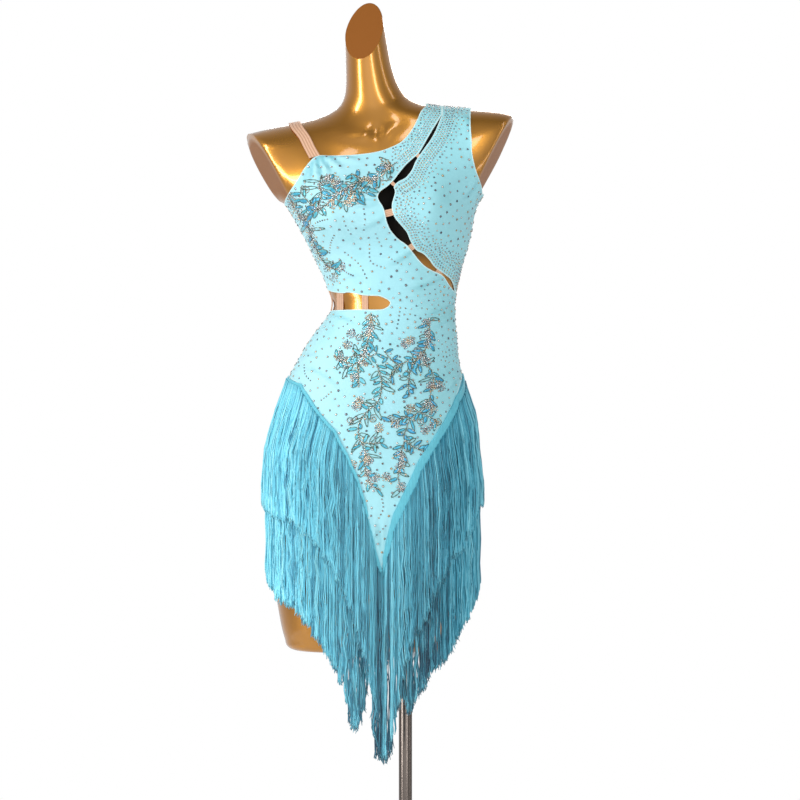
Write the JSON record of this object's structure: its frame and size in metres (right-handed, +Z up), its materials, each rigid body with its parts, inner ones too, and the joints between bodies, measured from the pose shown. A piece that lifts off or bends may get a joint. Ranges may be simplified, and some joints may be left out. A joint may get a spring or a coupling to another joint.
{
  "type": "latin dance dress on a dress form",
  "caption": "Asymmetric latin dance dress with cut-outs and tiered fringe, worn by a limbless dress form on a pole stand.",
  "frame": {"origin": "middle of the base plate's underside, on the pole's axis", "axes": "+Z up along the pole, -Y the dress's front, +X to the right seen from the front"},
  "size_m": [0.4504, 0.35, 1.5976],
  "materials": {
    "aqua_jersey": "stretch jersey with a soft satin sheen, set with small crystals",
    "teal_jersey": "plain stretch jersey under the fringe",
    "nude_elastic": "matte ribbed elastic",
    "teal_fringe": "silky chainette fringe with a soft sheen",
    "foil_applique": "foil leaves edged with metallic cord",
    "crystal": "faceted, foil-backed",
    "gold_form": "glossy metallic gold lacquer",
    "steel": "brushed, softly reflective"
  },
  "bodies": {
    "root": {"bodice_front": "aqua_jersey", "shoulder_panel": "aqua_jersey", "bodice_back": "aqua_jersey", "skirt_front": "teal_jersey", "skirt_back": "teal_jersey", "shoulder_strap": "nude_elastic", "slit_bridge_1": "nude_elastic", "slit_bridge_2": "nude_elastic", "slit_bridge_3": "nude_elastic", "slit_bridge_4": "nude_elastic", "slit_bridge_5": "nude_elastic", "waist_tab_1": "nude_elastic", "waist_tab_2": "nude_elastic", "waist_tab_3": "nude_elastic", "waist_tab_4": "nude_elastic", "applique_bust": "foil_applique", "applique_belly_left": "foil_applique", "applique_belly_right": "foil_applique", "fringe_upper_front_left": "teal_fringe", "fringe_upper_front_right": "teal_fringe", "fringe_upper_back_left": "teal_fringe", "fringe_upper_back_right": "teal_fringe", "fringe_lower_front_left": "teal_fringe", "fringe_lower_front_right": "teal_fringe", "fringe_lower_back_left": "teal_fringe", "fringe_lower_back_right": "teal_fringe", "dress_form": "gold_form", "stand_pole": "steel", "stand_base": "steel"}
  },
  "joints": []
}
